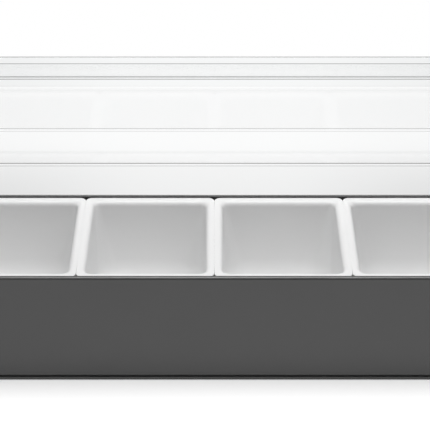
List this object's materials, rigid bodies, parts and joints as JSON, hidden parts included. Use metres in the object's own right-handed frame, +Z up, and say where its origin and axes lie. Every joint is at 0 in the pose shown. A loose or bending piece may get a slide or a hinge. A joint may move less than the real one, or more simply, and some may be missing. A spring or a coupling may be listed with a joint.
{
  "type": "bar garnish tray",
  "caption": "Long dark moulded trough with drop-in white inserts side by side and a clear faceted lid hinged along the back, shown open.",
  "frame": {"origin": "on the table, under the middle of the base", "axes": "+X to the right along the tray, +Y from the front to the hinge side, +Z up"},
  "size_m": [0.5018, 0.1838, 0.2464],
  "materials": {
    "base_plastic": "satin gloss, dark grey",
    "insert_plastic": "satin gloss, white",
    "clear_plastic": "clear, polished",
    "pin_plastic": "satin gloss, dark grey",
    "foot_rubber": "matt, soft"
  },
  "bodies": {
    "base": {"base_shell": "base_plastic", "hinge_pin_left": "pin_plastic", "hinge_pin_right": "pin_plastic", "foot_front_left": "foot_rubber", "foot_front_right": "foot_rubber", "foot_rear_left": "foot_rubber", "foot_rear_right": "foot_rubber"},
    "lid": {"lid": "clear_plastic"},
    "insert_1": {"insert_1": "insert_plastic"},
    "insert_2": {"insert_2": "insert_plastic"},
    "insert_3": {"insert_3": "insert_plastic"},
    "insert_4": {"insert_4": "insert_plastic"}
  },
  "joints": [
    {"name": "lid_hinge", "type": "hinge", "parent": "base", "child": "lid", "pos_m": [0, 0.0698, 0.0968], "axis": [-1, 0, 0], "range_deg": [-88.3, 0]},
    {"name": "insert_1_lift", "type": "slide", "parent": "base", "child": "insert_1", "axis": [0, 0, 1], "range_m": [0, 0.09]},
    {"name": "insert_2_lift", "type": "slide", "parent": "base", "child": "insert_2", "axis": [0, 0, 1], "range_m": [0, 0.09]},
    {"name": "insert_3_lift", "type": "slide", "parent": "base", "child": "insert_3", "axis": [0, 0, 1], "range_m": [0, 0.09]},
    {"name": "insert_4_lift", "type": "slide", "parent": "base", "child": "insert_4", "axis": [0, 0, 1], "range_m": [0, 0.09]}
  ]
}
